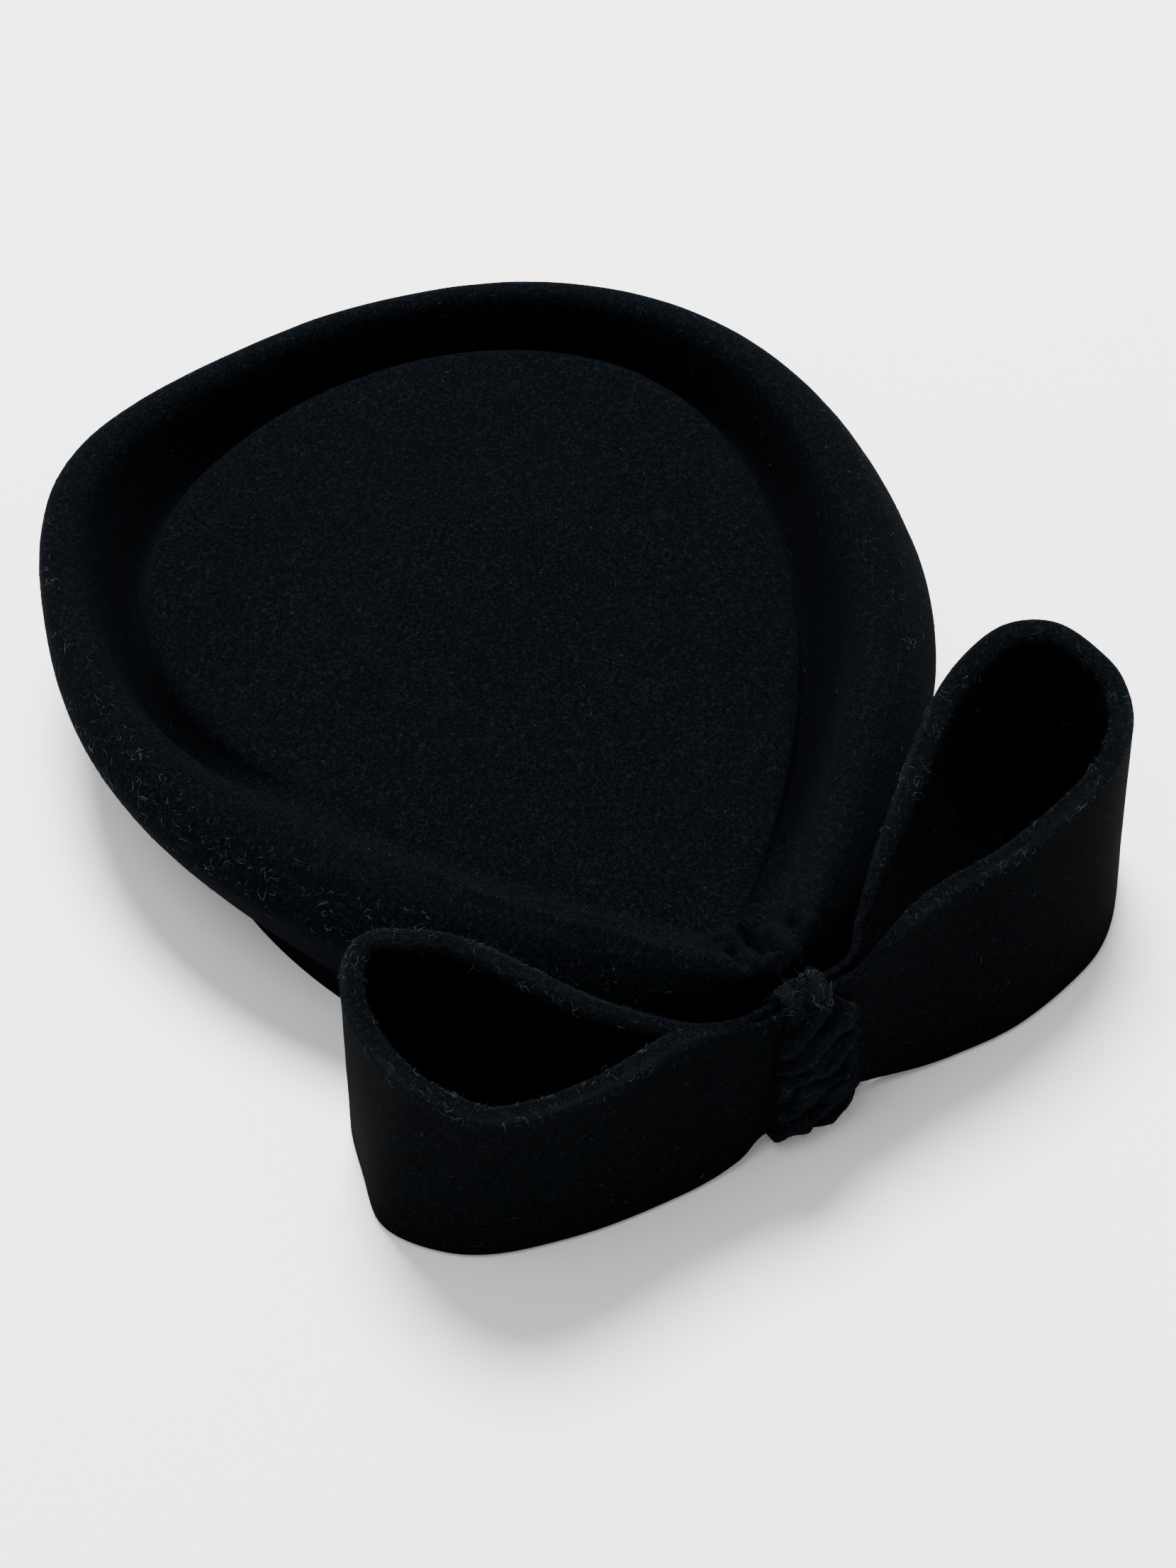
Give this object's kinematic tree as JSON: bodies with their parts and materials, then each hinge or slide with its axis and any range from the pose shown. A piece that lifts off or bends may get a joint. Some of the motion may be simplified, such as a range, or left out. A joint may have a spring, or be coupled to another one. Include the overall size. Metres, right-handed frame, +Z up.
{
  "type": "teardrop percher hat with bow",
  "caption": "Small teardrop hat of moulded black wool felt with a sunken channel, a rolled rim and a ruched felt bow at its tip; hollow underneath to sit on the head.",
  "frame": {"origin": "middle of the bounding box, on the surface that the hat rests on", "axes": "+Z up; +Y from the bow and the tip at the front towards the round back; +X to the right seen from the front"},
  "size_m": [0.148, 0.178, 0.044],
  "materials": {
    "crown_felt": "matt moulded wool felt with a fine nap",
    "bow_felt": "matt wool felt band with fuzzy cut edges",
    "wrap_felt": "matt ruched wool felt, knobbly"
  },
  "bodies": {
    "root": {"felt_crown": "crown_felt", "bow_loop_left": "bow_felt", "bow_loop_right": "bow_felt", "knot_wrap": "wrap_felt"}
  },
  "joints": []
}
